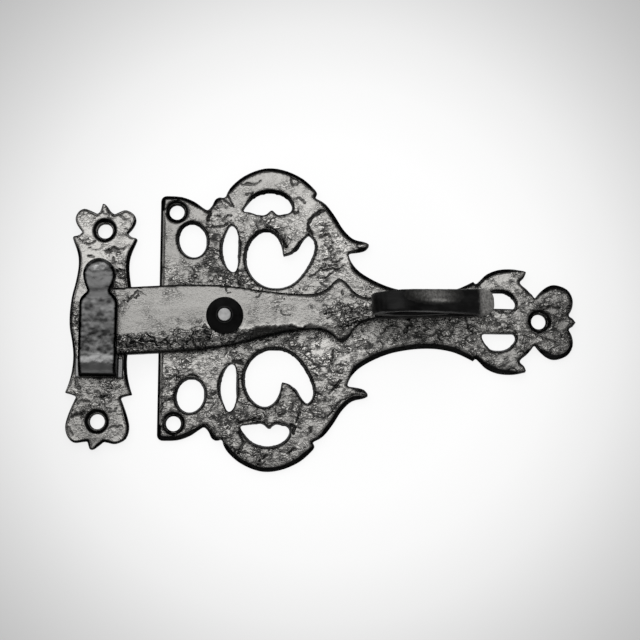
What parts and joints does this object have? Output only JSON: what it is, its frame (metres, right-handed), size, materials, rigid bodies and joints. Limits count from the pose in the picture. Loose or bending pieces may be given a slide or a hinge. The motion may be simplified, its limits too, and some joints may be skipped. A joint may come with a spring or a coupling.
{
  "type": "casement window fastener",
  "caption": "Black iron casement fastener: fretted back plate, pivoting lever with a scrolled handle, and a hook keeper that holds the lever's tongue.",
  "frame": {"origin": "on the lever's pivot axis, at the back of the back plate", "axes": "+Z out of the window towards the room, +X along the back plate from the tongue to the handle, +Y up the keeper"},
  "size_m": [0.1525, 0.0914, 0.0296],
  "materials": {
    "black_iron": "satin black lacquer over rough casting",
    "smooth_iron": "semi-gloss black lacquer over dressed iron",
    "rivet_iron": "peened bright-worn iron"
  },
  "bodies": {
    "plate": {"back_plate": "black_iron", "pivot_rivet": "rivet_iron", "dished_washer": "smooth_iron", "friction_washer": "rivet_iron"},
    "lever": {"lever": "black_iron"},
    "keeper": {"keeper_plate": "black_iron", "keeper_hook": "smooth_iron"}
  },
  "joints": [
    {"name": "lever_pivot", "type": "hinge", "parent": "plate", "child": "lever", "pos_m": [0, 0, 0.0075], "axis": [0, 0, -1], "range_deg": [0, 100]},
    {"name": "keeper_offer", "type": "slide", "parent": "plate", "child": "keeper", "axis": [-1, 0, 0], "range_m": [0, 0.025]}
  ]
}
